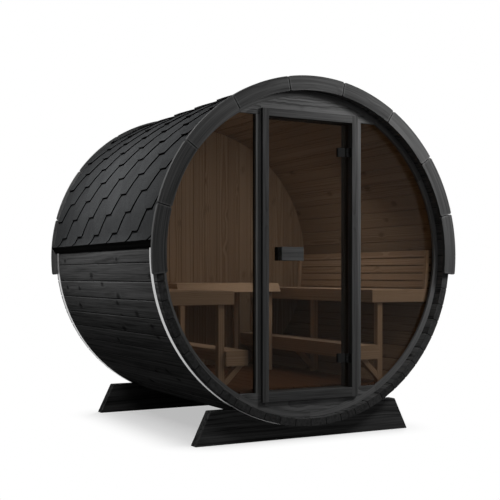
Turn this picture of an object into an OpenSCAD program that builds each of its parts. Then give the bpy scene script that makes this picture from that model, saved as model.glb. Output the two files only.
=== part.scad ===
// Barrel sauna: a stave barrel on two cradles, with a shingled upper half,
// a glazed front wall with a hinged glass door, and two-tier benches inside.
// The barrel lies along Y, its front faces -Y, and it stands on the plane Z = 0.

/* [Barrel] */
// Overall length between the outer faces of the two end trims
length = 1810; // [1600:10:2600]
// Radius to the flat outer faces of the staves
barrel_r = 1000; // [960:5:1100]
// Thickness of a stave
stave_t = 45; // [38:1:50]
// Number of staves round the barrel
stave_count = 59; // [54:1:70]
// Share of a stave by which the joints are turned to the left of the top
stave_shift = 0.26; // [0:0.01:0.5]
// Gap between two neighbouring staves
stave_joint = 0.6; // [0.4:0.1:1.2]
// Bevel along the outer edges of a stave
stave_bevel = 4; // [2:0.5:6]
// Clear height between the ground and the staves
ground_gap = 77; // [60:1:100]

/* [End trims] */
// Height of the trim over the outer faces of the staves
trim_proud = 30; // [26:1:45]
// Radial width of the trim
trim_w = 85; // [78:1:100]
// Thickness of the trim along the barrel
trim_t = 26; // [18:1:34]
// Number of curved segments in one trim
trim_count = 9; // [7:2:13]
// Angle of the trim's lower ends below the axis
trim_end_angle = 6.8; // [4:0.2:9]
// Gap between two segments
trim_joint = 3; // [0.8:0.2:4]
// Cut across the corners of a segment
trim_corner = 9; // [3:0.5:12]

/* [Roof] */
// Thickness of the shingle layer
roof_t = 15; // [10:1:20]
// Height of the eave over the barrel's axis
eave_rise = 66; // [58:1:80]
// Reach of the eave past the flat faces of the staves
eave_reach = 33; // [26:1:45]
// Height over which the shingles bend out to the eave
flare_h = 56; // [40:1:75]
// Height of the cant strip under the eave
eave_strip_h = 41; // [34:1:48]
// Thickness of the cant strip at its lower edge
eave_strip_low_t = 3; // [2:0.5:6]

/* [Bands] */
// Width of a steel band
band_w = 34; // [22:1:40]
// Thickness of a steel band
band_t = 1.6; // [1:0.2:2.4]
// Distance from the front stave ends to the front band
band_inset = 44; // [24:1:44]
// Distance from the rear stave ends to the rear band
band_rear_inset = 25; // [20:1:44]

/* [Cradles] */
// Thickness of a cradle along the barrel
cradle_t = 65; // [50:1:80]
// Distance from the stave ends to a cradle
cradle_inset = 79; // [76:1:140]
// Width of a cradle on the ground
cradle_foot_w = 1458; // [1300:2:1600]
// Width of a cradle along its top edge
cradle_top_w = 1270; // [1180:2:1290]
// Height of a cradle
cradle_h = 192; // [170:1:220]

/* [End walls] */
// Depth of the front and rear walls behind the stave ends
wall_recess = 53; // [45:1:70]
// Thickness of the walls
wall_t = 40; // [36:1:50]
// Radial width of the ring round the glazing
ring_w = 33; // [28:1:40]
// Number of segments in the ring
ring_count = 12; // [8:2:16]
// Height of the boards over and under the windows, at their middle
segment_h = 127; // [118:1:160]
// Width of the post between door frame and window
post_w = 35; // [28:1:60]
// Thickness of the window glass
glass_t = 6; // [4:1:8]
// Depth of the window glass behind the face of the wall
glass_inset = 18; // [14:1:22]
// Depth of the rebate that holds the window glass
rebate = 14; // [10:1:16]

/* [Door] */
// Clear width between the door frame's stiles
door_w = 572; // [540:2:620]
// Depth of the door opening's upper edge below the windows' upper edge
head_drop = 8; // [2:1:30]
// Face width of the door frame's stiles
stile_w = 41; // [36:1:48]
// Face height of the door frame's head
head_w = 44; // [38:1:50]
// Face height of the door frame's sill
sill_w = 55; // [48:1:60]
// Height of the door frame over the face of the wall
frame_proud = 19; // [14:1:24]
// Depth of the door frame
frame_depth = 120; // [100:1:130]
// Thickness of the door's glass
leaf_t = 8; // [6:1:10]
// Depth of the door's glass behind the face of its frame
leaf_inset = 36; // [32:1:44]
// Gap between the door's glass and its frame
leaf_gap = 6; // [5:0.5:8]

/* [Door furniture] */
// Distance from the door opening's upper and lower edges to the middle of a hinge
hinge_end = 175; // [110:1:260]
// Width of a hinge's clamp plate
clamp_w = 52; // [44:1:60]
// Height of a hinge
clamp_h = 54; // [48:1:66]
// Thickness of a clamp plate
clamp_t = 5; // [4:0.5:5.5]
// Distance from the hinge pin to the face of the door's glass
pin_off = 9; // [8.5:0.5:11]
// Distance from the hinge pin to the stile
pin_edge = 20; // [18:0.5:24]
// Radius of a hinge knuckle
knuckle_r = 7; // [6:0.5:7]
// Radius of the hinge pin
pin_r = 3; // [2:0.5:4]
// Width of the handle
handle_w = 148; // [120:1:180]
// Height of the handle
handle_h = 80; // [60:1:100]
// Depth of the outer handle
handle_d = 48; // [36:1:60]
// Depth of the inner pull
pull_d = 30; // [20:1:40]
// Distance from the stile to the handle
handle_edge = 77; // [50:1:110]

/* [Floor] */
// Height of the floor's surface over the door opening's lower edge
threshold_h = 10; // [5:1:20]
// Thickness of a floor board
floor_t = 22; // [18:1:28]
// Number of floor boards
floor_count = 11; // [9:2:13]
// Gap between two floor boards
floor_gap = 4; // [2:0.5:8]
// Height and width of a floor bearer
floor_bearer = 45; // [36:1:50]

/* [Benches] */
// Height of the upper benches over the floor
bench_h = 573; // [540:1:590]
// Clear width between the upper benches
bench_aisle_w = 954; // [900:2:980]
// Height of the steps over the floor
step_h = 232; // [215:1:250]
// Clear width between the steps
step_aisle_w = 774; // [720:2:800]
// Thickness of a bench board
board_t = 20; // [16:1:24]
// Thickness of a bench slat
slat_t = 25; // [20:1:28]
// Height of an upper bench's fascia
fascia_h = 80; // [70:1:92]
// Height of a step's fascia
step_fascia_h = 88; // [78:1:96]
// Number of slats in an upper bench
slat_count = 4; // [3:1:5]
// Gap between two slats
slat_gap = 8; // [5:0.5:12]
// Side of a square bench leg
leg_w = 39; // [34:1:44]
// Distance from an upper bench's edge to its legs
leg_set = 53; // [48:1:58]
// Height of a diagonal brace's end on the leg
brace_w = 45; // [36:1:50]
// Height of the brace's lower end over the floor
brace_low = 20; // [10:1:24]
// Gap between the end walls and the benches
bench_gap = 3; // [2:0.5:8]

/* [Backrests] */
// Height of a backrest's posts over the seat
rest_h = 248; // [230:1:280]
// Lean of a backrest over its height, along the barrel's round
rest_lean = 18; // [0:1:20]
// Thickness of a backrest post
rest_post_t = 25; // [20:1:28]
// Thickness of a backrest board
rest_board_t = 18; // [14:1:18]
// Gap between a backrest and the staves behind it
rest_clear = 8; // [5:0.5:20]
// Number of boards in a backrest
rest_count = 5; // [3:1:6]
// Gap between two backrest boards
rest_gap = 7; // [4:0.5:12]

/* [Back bench] */
// Distance from the front trim's face to the back bench's edge
back_bench_y = 1085; // [1000:5:1150]
// Width of the back bench
back_bench_w = 780; // [700:2:860]
// Height of the back bench over the floor
back_bench_h = 607; // [580:1:630]
// Height of its leaning front board
nosing_h = 60; // [50:1:70]
// Depth over which the front board leans back
nosing_lean = 36; // [20:1:44]
// Side of a square leg
back_leg_w = 33; // [28:1:40]
// Distance between the centres of its legs
back_leg_span = 670; // [600:2:680]
// Number of slats
back_slat_count = 4; // [3:1:5]
// Thickness of a back bench slat
back_slat_t = 22; // [18:1:26]
// Height of the rails under the slats
back_rail_h = 45; // [38:1:52]

/* [Hidden] */

$fn = 128;
// Clearance where curved or sliding faces meet
fit = 0.3;
// Overrun of a cut past the faces it goes through
over = 5;
// Outline radii reach this share past the barrel where a cut has to clear it
far_share = 1.4;
far = barrel_r * far_share;

// Barrel
axis_h = barrel_r + ground_gap;
stave_step = 360 / stave_count;
stave_tan = tan(stave_step / 2);
inner_r = barrel_r - stave_t;
stave_len = length - 2 * trim_t;
stave_groups = 6;
corner_half = barrel_r * stave_tan - stave_joint / 2 - stave_bevel;
seat_r = norm([barrel_r, corner_half]) + fit;
fit_r = inner_r - fit;

// End trims, bands and roof
trim_r = barrel_r + trim_proud;
trim_in_r = trim_r - trim_w;
trim_sweep = 180 + 2 * trim_end_angle;
trim_step = trim_sweep / trim_count;
band_y = trim_t + band_inset;
band_r = seat_r + band_t;
roof_in_r = band_r + fit;
roof_r = roof_in_r + roof_t;
roof_mid_r = (roof_r + roof_in_r) / 2;
eave_x = barrel_r + eave_reach;
flare_steps = 8;

// Cradles
cradle_y = trim_t + cradle_inset;

// Front wall
wall_y = trim_t + wall_recess;
wall_back_y = wall_y + wall_t;
rear_wall_y = length - wall_back_y;
ring_in_r = fit_r - ring_w;
window_z = ring_in_r - segment_h;
frame_x = door_w / 2 + stile_w;
window_x = frame_x + post_w;
pane_y = wall_y + glass_inset;
rebate_r = ring_in_r + rebate;
rebate_x = window_x - rebate;
rebate_z = window_z + rebate;

// Door
door_top = window_z - head_drop;
door_low = window_z;
frame_y = wall_y - frame_proud;
leaf_y = frame_y + leaf_inset;
leaf_x = door_w / 2 - leaf_gap;
frame_top = door_top + head_w;
frame_low = door_low + sill_w;
pin_x = door_w / 2 - pin_edge;
pin_y = leaf_y - pin_off;
hinge_rows = [hinge_end - door_low, door_top - hinge_end];
knuckle_h = clamp_h / 3;
knuckle_gap = 1;
plate_t = 4;
plate_front = 4;
web_half = 4;
clamp_clear = 2;
handle_x = door_w / 2 - handle_edge;
grip_d_share = 0.55;
grip_w_share = 0.3;

// Floor
floor_z = threshold_h - door_low;
floor_low_z = floor_z - floor_t;
bearer_low_z = floor_low_z - floor_bearer;
floor_half = chord(floor_z) - fit;
room_y = wall_back_y + bench_gap;
room_len = rear_wall_y - bench_gap - room_y;
room_back_y = room_y + room_len;
threshold_y = frame_y + frame_depth + bench_gap;
bearer_rows = [threshold_y, (threshold_y + room_back_y - floor_bearer) / 2, room_back_y - floor_bearer];

// Benches
bench_z = floor_z + bench_h;
bench_x = bench_aisle_w / 2;
slat_z = bench_z - slat_t;
fascia_z = bench_z - fascia_h;
slat_x = bench_x + board_t;
slat_end_x = chord(slat_z) - bench_gap;
slat_run = slat_end_x - slat_x;
slat_w = (slat_run - (slat_count - 1) * slat_gap) / slat_count;
leg_x = bench_x + leg_set;
step_z = floor_z + step_h;
step_x = step_aisle_w / 2;
step_slat_z = step_z - slat_t;
step_low_z = step_z - step_fascia_h;
leg_first_y = room_y + board_t;
leg_last_y = room_back_y - board_t - leg_w;
leg_rows = [leg_first_y, (leg_first_y + leg_last_y) / 2, leg_last_y];
brace_z = floor_z + brace_low;
rest_board_h = (rest_h - rest_gap * rest_count) / rest_count;
rest_wall_x = min(chord(bench_z), chord(bench_z + rest_h) - rest_lean);
rest_board_x = rest_wall_x - rest_clear - rest_board_t;
rest_x = rest_board_x - rest_post_t;

// Back bench
back_z = floor_z + back_bench_h;
back_slat_z = back_z - back_slat_t;
back_rail_z = back_slat_z - back_rail_h;
nosing_low_z = back_z - fit - nosing_h;
back_slat_y = back_bench_y + nosing_lean + board_t;
back_slat_run = room_back_y - back_slat_y;
back_slat_w = (back_slat_run - (back_slat_count - 1) * slat_gap) / back_slat_count;
back_leg_rows = [back_slat_y, room_back_y - back_leg_w];

// Colours
black_stain = "#2b2b2c";
shingle = "#3c3c3d";
steel = "#b9bbbd";
furniture_black = "#141415";
bronze_glass = "#4a3c30";
spruce = "#9a7350";
spruce_dark = "#84603f";

// Half the width of a round at a height from its centre
function round_x(r, z) = sqrt(pow(r, 2) - pow(z, 2));
// Half the width of the barrel's inside at a height from the axis
function chord(z) = round_x(inner_r, z);
// Point at a radius and an angle
function polar(r, a) = [r * cos(a), r * sin(a)];
// Angle that an arc length spans at a radius
function arc_angle(s, r) = s / r * 180 / PI;
// First stave of a group, counted from the top to the left
function group_start(k) = round(stave_count * (k - 0.5) / stave_groups);

// Carries an outline, X across and Y up from the axis, along the barrel
module along(y0, len) {
    translate([0, y0 + len - length / 2, axis_h])
        rotate([90, 0, 0])
            linear_extrude(height = len)
                children();
}

// Board between two corners, measured from the front trim's face and the axis
module board(x, y, z) {
    translate([x[0], y[0] - length / 2, axis_h + z[0]])
        cube([x[1] - x[0], y[1] - y[0], z[1] - z[0]]);
}

module upright(x, y, z, h, r) {
    translate([x, y - length / 2, axis_h + z])
        cylinder(r = r, h = h);
}

// Turns a right-hand piece into its left-hand twin
module left_hand() {
    mirror([1, 0, 0]) children();
}

module annulus(r_out, r_in) {
    difference() {
        circle(r = r_out);
        circle(r = r_in);
    }
}

// Wedge from the axis outwards
module wedge(r, from, to) {
    polygon([[0, 0], polar(r, from), polar(r, (from + to) / 2), polar(r, to)]);
}

// Part of the plane above a height
module above(z) {
    translate([-far, z]) square([2 * far, far]);
}

// One flat stave with bevelled outer edges, pointing along X
module stave_outline() {
    half_in = inner_r * stave_tan - stave_joint / 2;
    half_out = (barrel_r - stave_bevel) * stave_tan - stave_joint / 2;
    polygon([
        [inner_r, -half_in],
        [barrel_r - stave_bevel, -half_out],
        [barrel_r, -corner_half],
        [barrel_r, corner_half],
        [barrel_r - stave_bevel, half_out],
        [inner_r, half_in]
    ]);
}

module staves(k) {
    along(trim_t, stave_len)
        for (i = [group_start(k) : group_start(k + 1) - 1])
            rotate(90 + (i + 0.5 + stave_shift) * stave_step)
                stave_outline();
}

module staves_top() { color(black_stain) staves(0); }
module staves_upper_left() { color(black_stain) staves(1); }
module staves_lower_left() { color(black_stain) staves(2); }
module staves_bottom() { color(black_stain) staves(3); }
module staves_lower_right() { color(black_stain) staves(4); }
module staves_upper_right() { color(black_stain) staves(5); }

// Trapezoid beam with a round seat for the barrel
module cradle(y0) {
    along(y0, cradle_t)
        difference() {
            polygon([
                [-cradle_foot_w / 2, -axis_h],
                [cradle_foot_w / 2, -axis_h],
                [cradle_top_w / 2, cradle_h - axis_h],
                [-cradle_top_w / 2, cradle_h - axis_h]
            ]);
            circle(r = seat_r);
        }
}

module cradle_front() { color(black_stain) cradle(cradle_y); }
module cradle_rear() { color(black_stain) cradle(length - cradle_y - cradle_t); }

module band(y0) {
    along(y0, band_w) annulus(band_r, seat_r);
}

module band_front() { color(steel) band(band_y); }
module band_rear() { color(steel) band(length - trim_t - band_rear_inset - band_w); }

// Outward bend of the shingles over the eave
module eave_flare() {
    kick = eave_x - round_x(roof_r, eave_rise);
    rows = [for (k = [0 : flare_steps]) k / flare_steps];
    outer = [for (t = rows) let (z = eave_rise + flare_h * t) [round_x(roof_r, z) + kick * pow(1 - t, 2), z]];
    inner = [for (t = rows) let (z = eave_rise + flare_h * (1 - t)) [round_x(roof_mid_r, z), z]];
    polygon(concat(outer, inner));
}

// Shingled shell from the eave to the ridge
module roof_half() {
    along(trim_t, stave_len) {
        intersection() {
            annulus(roof_r, roof_in_r);
            translate([fit, eave_rise]) square([far, far]);
        }
        eave_flare();
    }
}

module roof_right() { color(shingle) roof_half(); }
module roof_left() { color(shingle) left_hand() roof_half(); }

// Tapered strip that carries the lowest course
module eave_strip() {
    strip_x = band_r + fit;
    along(trim_t, stave_len)
        polygon([
            [strip_x, eave_rise],
            [strip_x, eave_rise - eave_strip_h],
            [strip_x + eave_strip_low_t, eave_rise - eave_strip_h],
            [eave_x, eave_rise]
        ]);
}

module eave_strip_right() { color(black_stain) eave_strip(); }
module eave_strip_left() { color(black_stain) left_hand() eave_strip(); }

// Outline that cuts one trim segment out of the arch, with its corners taken off
module trim_cut(half) {
    out_turn = arc_angle(2 * trim_corner, trim_r);
    in_turn = arc_angle(2 * trim_corner, trim_in_r);
    polygon([
        polar(trim_in_r - trim_corner, in_turn - half),
        polar(trim_in_r + trim_corner, -half),
        polar(trim_r - trim_corner, -half),
        polar(trim_r + trim_corner, out_turn - half),
        polar(far, 0),
        polar(trim_r + trim_corner, half - out_turn),
        polar(trim_r - trim_corner, half),
        polar(trim_in_r + trim_corner, half),
        polar(trim_in_r - trim_corner, half - in_turn),
        [0, 0]
    ]);
}

// Arch of curved segments on the stave ends
module trim(y0) {
    half = (trim_step - arc_angle(trim_joint, trim_r)) / 2;
    along(y0, trim_t)
        for (k = [0 : trim_count - 1])
            rotate((k + 0.5) * trim_step - trim_end_angle)
                intersection() {
                    annulus(trim_r, trim_in_r);
                    trim_cut(half);
                }
}

module trim_front() { color(black_stain) trim(0); }
module trim_rear() { color(black_stain) trim(length - trim_t); }

// Ring of segments round the glazing, rebated behind for the glass
module front_ring() {
    step = 360 / ring_count;
    half = (step - arc_angle(stave_joint, ring_in_r)) / 2;
    color(black_stain)
        for (k = [0 : ring_count - 1]) {
            a = (k + 0.5) * step;
            along(wall_y, glass_inset)
                intersection() {
                    annulus(fit_r, ring_in_r);
                    wedge(far, a - half, a + half);
                }
            along(pane_y, wall_t - glass_inset)
                intersection() {
                    annulus(fit_r, rebate_r);
                    wedge(far, a - half, a + half);
                }
        }
}

// Board that closes the round above or below the windows, notched for the door frame
module segment_board(frame_edge) {
    along(wall_y, glass_inset)
        difference() {
            intersection() {
                circle(r = ring_in_r - fit);
                above(window_z);
            }
            translate([-frame_x - fit, -far]) square([2 * (frame_x + fit), far + frame_edge + fit]);
        }
    along(pane_y, wall_t - glass_inset)
        difference() {
            intersection() {
                circle(r = rebate_r - fit);
                above(rebate_z);
            }
            translate([-frame_x - fit, -far]) square([2 * (frame_x + fit), far + frame_edge + fit]);
        }
}

module head_board() { color(black_stain) segment_board(frame_top); }

module sill_board() {
    color(black_stain)
        translate([0, 0, 2 * axis_h])
            mirror([0, 0, 1])
                segment_board(frame_low);
}

module post() {
    board([frame_x + fit, window_x], [wall_y, pane_y], [fit - window_z, window_z - fit]);
    board([frame_x + fit, rebate_x], [pane_y, wall_back_y], [fit - rebate_z, rebate_z - fit]);
}

module post_right() { color(black_stain) post(); }
module post_left() { color(black_stain) left_hand() post(); }

module window_pane() {
    along(pane_y, glass_t)
        intersection() {
            circle(r = rebate_r - fit);
            translate([rebate_x + fit, fit - rebate_z]) square([far, 2 * (rebate_z - fit)]);
        }
}

module window_right() { color(bronze_glass) window_pane(); }
module window_left() { color(bronze_glass) left_hand() window_pane(); }

module door_stile() {
    board([door_w / 2, frame_x], [frame_y, frame_y + frame_depth], [-frame_low, frame_top]);
}

module door_stile_right() { color(black_stain) door_stile(); }
module door_stile_left() { color(black_stain) left_hand() door_stile(); }

module door_head() {
    color(black_stain)
        board([-door_w / 2, door_w / 2], [frame_y, frame_y + frame_depth], [door_top, frame_top]);
}

module door_sill() {
    color(black_stain)
        board([-door_w / 2, door_w / 2], [frame_y, frame_y + frame_depth], [-frame_low, -door_low]);
}

module door_glass() {
    color(bronze_glass)
        board([-leaf_x, leaf_x], [leaf_y, leaf_y + leaf_t], [leaf_gap - door_low, door_top - leaf_gap]);
}

// Plate on the stile with two knuckles and the pin
module hinge_bracket(z) {
    low = z - clamp_h / 2;
    plate_x = door_w / 2 - plate_t;
    board([plate_x, door_w / 2], [frame_y + plate_front, leaf_y - clamp_clear], [low, low + clamp_h]);
    for (k = [0, 2]) {
        upright(pin_x, pin_y, low + k * knuckle_h, knuckle_h - knuckle_gap * k / 2, knuckle_r);
        board([pin_x, plate_x], [pin_y - web_half, pin_y + web_half],
            [low + k * knuckle_h, low + (k + 1) * knuckle_h - knuckle_gap * k / 2]);
    }
    upright(pin_x, pin_y, low, clamp_h - knuckle_gap, pin_r);
}

module hinge_brackets() {
    color(furniture_black)
        for (z = hinge_rows)
            hinge_bracket(z);
}

// Clamp plates on both faces of the glass, the front one with the middle knuckle
module hinge_clamp(z) {
    low = z - clamp_h / 2;
    knuckle_low = low + knuckle_h + knuckle_gap;
    knuckle_top = low + 2 * knuckle_h - knuckle_gap;
    clamp_x = pin_x - knuckle_r - clamp_clear;
    difference() {
        union() {
            board([clamp_x - clamp_w, clamp_x], [leaf_y - clamp_t, leaf_y], [low, low + clamp_h]);
            board([clamp_x, pin_x], [leaf_y - clamp_t, leaf_y - clamp_clear], [knuckle_low, knuckle_top]);
            upright(pin_x, pin_y, knuckle_low, knuckle_top - knuckle_low, knuckle_r);
        }
        upright(pin_x, pin_y, knuckle_low - over, knuckle_top - knuckle_low + 2 * over, pin_r + fit);
    }
    board([clamp_x - clamp_w, clamp_x], [leaf_y + leaf_t, leaf_y + leaf_t + clamp_t], [low, low + clamp_h]);
}

module door_hinges() {
    color(furniture_black)
        for (z = hinge_rows)
            hinge_clamp(z);
}

// Block handle with a finger groove behind its free edge
module door_handle() {
    grip_d = handle_d * grip_d_share;
    grip_w = handle_w * grip_w_share;
    end_x = handle_w - handle_x;
    half = handle_h / 2;
    color(furniture_black)
        difference() {
            board([-handle_x, end_x], [leaf_y - handle_d, leaf_y], [-half, half]);
            board([end_x - grip_w, end_x + over], [leaf_y - grip_d, leaf_y + over], [-half - over, half + over]);
        }
}

module door_pull() {
    color(spruce)
        board([-handle_x, handle_w / 2 - handle_x], [leaf_y + leaf_t, leaf_y + leaf_t + pull_d],
            [-handle_h / 2, handle_h / 2]);
}

module rear_wall() {
    color(spruce)
        along(rear_wall_y, wall_t) circle(r = fit_r);
}

// Section across the barrel's foot between two heights, bevelled to the round
module foot_section(z_top, z_low) {
    half_top = chord(z_top) - fit;
    half_low = chord(z_low) - fit;
    polygon([
        [-half_top, z_top],
        [-half_low, z_low],
        [half_low, z_low],
        [half_top, z_top]
    ]);
}

// Floor boards along the barrel, notched round the door frame
module floor_boards() {
    pitch = (2 * floor_half + floor_gap) / floor_count;
    notch = frame_x + bench_gap;
    color(spruce_dark)
        difference() {
            along(room_y, room_len)
                for (k = [0 : floor_count - 1])
                    intersection() {
                        foot_section(floor_z, floor_low_z);
                        translate([k * pitch - floor_half, floor_low_z]) square([pitch - floor_gap, floor_t]);
                    }
            board([-notch, notch], [room_y - over, threshold_y], [floor_low_z - over, floor_z + over]);
        }
}

module floor_bearers() {
    color(spruce_dark)
        for (y = bearer_rows)
            along(y, floor_bearer)
                foot_section(floor_low_z, bearer_low_z);
}

// Slats of an upper bench
module bench_seat() {
    for (k = [0 : slat_count - 1]) {
        x = slat_x + k * (slat_w + slat_gap);
        board([x, x + slat_w], [leg_first_y, room_back_y], [slat_z, bench_z]);
    }
}

module bench_right_seat() { color(spruce) bench_seat(); }
module bench_left_seat() { color(spruce) left_hand() bench_seat(); }

// Fascia along the aisle, end board behind the window, and bearers under the slats
module bench_boards() {
    board([bench_x, slat_x], [leg_first_y, room_back_y], [fascia_z, bench_z]);
    along(room_y, board_t)
        intersection() {
            circle(r = fit_r);
            translate([bench_x, fascia_z]) square([far, fascia_h]);
        }
    for (y = leg_rows)
        along(y, leg_w)
            intersection() {
                circle(r = fit_r);
                translate([slat_x, fascia_z]) square([far, fascia_h - slat_t]);
            }
}

module bench_right_boards() { color(spruce) bench_boards(); }
module bench_left_boards() { color(spruce) left_hand() bench_boards(); }

// Legs cut to the round, each with a diagonal brace to the step
module bench_legs() {
    rise = step_low_z - brace_z;
    for (y = leg_rows)
        along(y, leg_w)
            intersection() {
                circle(r = fit_r);
                union() {
                    translate([leg_x, floor_z]) square([leg_w, fascia_z - floor_z]);
                    polygon([
                        [leg_x, brace_z],
                        [leg_x, brace_z + brace_w],
                        [leg_x - rise + brace_w, step_low_z],
                        [leg_x - rise, step_low_z]
                    ]);
                }
            }
}

module bench_right_legs() { color(spruce) bench_legs(); }
module bench_left_legs() { color(spruce) left_hand() bench_legs(); }

// Lower step: fascia, end board, slat and bearers against the legs
module step_tier() {
    slat_low_x = step_x + board_t;
    board([step_x, slat_low_x], [leg_first_y, room_back_y], [step_low_z, step_z]);
    board([step_x, leg_x], [room_y, leg_first_y], [step_low_z, step_z]);
    board([slat_low_x, leg_x], [leg_first_y, room_back_y], [step_slat_z, step_z]);
    for (y = leg_rows)
        board([slat_low_x, leg_x], [y, y + leg_w], [step_low_z, step_slat_z]);
}

module step_right() { color(spruce) step_tier(); }
module step_left() { color(spruce) left_hand() step_tier(); }

// Section of a leaning piece of a backrest, from x0 to x1 at the bench
module leaning(x0, x1, z0, z1) {
    lean0 = rest_lean * (z0 - bench_z) / rest_h;
    lean1 = rest_lean * (z1 - bench_z) / rest_h;
    polygon([[x0 + lean0, z0], [x1 + lean0, z0], [x1 + lean1, z1], [x0 + lean1, z1]]);
}

// Posts on the seat with boards behind them
module backrest() {
    rows = [room_y, (room_y + room_back_y - rest_post_t) / 2, room_back_y - rest_post_t];
    for (y = rows)
        along(y, rest_post_t) leaning(rest_x, rest_board_x, bench_z, bench_z + rest_h);
    for (k = [0 : rest_count - 1]) {
        z = bench_z + rest_gap + k * (rest_board_h + rest_gap);
        along(room_y, room_back_y - room_y)
            leaning(rest_board_x, rest_board_x + rest_board_t, z, z + rest_board_h);
    }
}
module backrest_right() { color(spruce) backrest(); }
module backrest_left() { color(spruce) left_hand() backrest(); }

// Slats and leaning front board of the bench across the aisle
module back_bench_seat() {
    half = back_bench_w / 2;
    color(spruce) {
        for (k = [0 : back_slat_count - 1]) {
            y = back_slat_y + k * (back_slat_w + slat_gap);
            board([-half, half], [y, y + back_slat_w], [back_slat_z, back_z]);
        }
        translate([-half, back_bench_y - length / 2, axis_h])
            rotate([90, 0, 90])
                linear_extrude(height = back_bench_w)
                    polygon([
                        [0, nosing_low_z],
                        [board_t, nosing_low_z],
                        [board_t + nosing_lean, nosing_low_z + nosing_h],
                        [nosing_lean, nosing_low_z + nosing_h]
                    ]);
    }
}

module back_bench_frame() {
    color(spruce)
        for (s = [-1, 1]) {
            x = s * back_leg_span / 2 - back_leg_w / 2;
            board([x, x + back_leg_w], [back_slat_y, room_back_y], [back_rail_z, back_slat_z]);
            for (y = back_leg_rows)
                board([x, x + back_leg_w], [y, y + back_leg_w], [floor_z, back_rail_z]);
        }
}

cradle_front();
cradle_rear();
staves_top();
staves_upper_left();
staves_lower_left();
staves_bottom();
staves_lower_right();
staves_upper_right();
band_front();
band_rear();
roof_left();
roof_right();
eave_strip_left();
eave_strip_right();
trim_front();
trim_rear();
front_ring();
head_board();
sill_board();
post_left();
post_right();
window_left();
window_right();
door_stile_left();
door_stile_right();
door_head();
door_sill();
hinge_brackets();
door_glass();
door_hinges();
door_handle();
door_pull();
rear_wall();
floor_boards();
floor_bearers();
bench_left_seat();
bench_right_seat();
bench_left_boards();
bench_right_boards();
bench_left_legs();
bench_right_legs();
step_left();
step_right();
backrest_left();
backrest_right();
back_bench_seat();
back_bench_frame();
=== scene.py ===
# %% [markdown]
# # Dressing a barrel sauna
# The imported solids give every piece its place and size. This lesson gives them their looks: eased timber
# whose grain runs along each board, shingles laid in courses, tinted glass, and a quiet studio round it.

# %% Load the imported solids
import math

import bpy
import numpy as np
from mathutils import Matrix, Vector


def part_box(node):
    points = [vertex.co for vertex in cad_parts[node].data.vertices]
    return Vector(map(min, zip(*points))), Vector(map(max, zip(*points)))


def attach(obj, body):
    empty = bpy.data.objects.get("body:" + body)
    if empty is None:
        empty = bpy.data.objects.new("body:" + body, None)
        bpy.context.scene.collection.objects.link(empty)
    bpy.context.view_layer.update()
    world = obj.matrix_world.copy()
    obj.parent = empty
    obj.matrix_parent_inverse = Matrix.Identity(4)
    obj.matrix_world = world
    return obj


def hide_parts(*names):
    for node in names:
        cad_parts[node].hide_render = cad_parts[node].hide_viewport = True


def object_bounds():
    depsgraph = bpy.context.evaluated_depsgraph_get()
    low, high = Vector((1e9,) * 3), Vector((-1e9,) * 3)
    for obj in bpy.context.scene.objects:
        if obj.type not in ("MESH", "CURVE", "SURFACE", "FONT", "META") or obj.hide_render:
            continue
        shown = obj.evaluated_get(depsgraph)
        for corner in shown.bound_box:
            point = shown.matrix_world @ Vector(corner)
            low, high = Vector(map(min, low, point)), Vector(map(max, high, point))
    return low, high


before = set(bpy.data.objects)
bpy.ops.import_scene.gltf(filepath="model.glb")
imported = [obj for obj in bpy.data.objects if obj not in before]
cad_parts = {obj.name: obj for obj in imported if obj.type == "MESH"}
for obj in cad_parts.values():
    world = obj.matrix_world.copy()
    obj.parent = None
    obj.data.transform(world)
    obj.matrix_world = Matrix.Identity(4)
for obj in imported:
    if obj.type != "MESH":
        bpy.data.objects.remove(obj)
cad_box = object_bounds()
print("solids:", len(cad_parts), "box:", [[round(v, 3) for v in corner] for corner in cad_box])

# %% [markdown]
# ## The camera
# The sauna is seen from a person's chest height, a little to the left of its front. A level camera keeps
# all uprights parallel, so the picture is framed by shifting the film up instead of tilting the camera.

# %% Camera
EYE, TURN_DEG = (-3.012, -5.655, 0.951), -28.412
LENS_MM, FILM_MM, FILM_RISE = 69.77, 36.0, 0.0512

scene = bpy.context.scene
camera = bpy.data.objects.new("camera", bpy.data.cameras.new("camera"))
scene.collection.objects.link(camera)
camera.location = EYE
camera.rotation_euler = (math.radians(90), 0.0, math.radians(TURN_DEG))
camera.data.lens, camera.data.sensor_width, camera.data.shift_y = LENS_MM, FILM_MM, FILM_RISE
scene.camera = camera
scene.view_settings.view_transform = "Standard"
print("camera lens:", LENS_MM)

# %% [markdown]
# ## Shader maths as Python
# A node tree is a formula drawn with boxes. It reads better as a formula: this class wraps one socket, and
# arithmetic on it adds Math nodes. Every other node comes from its one method, make.


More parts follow.
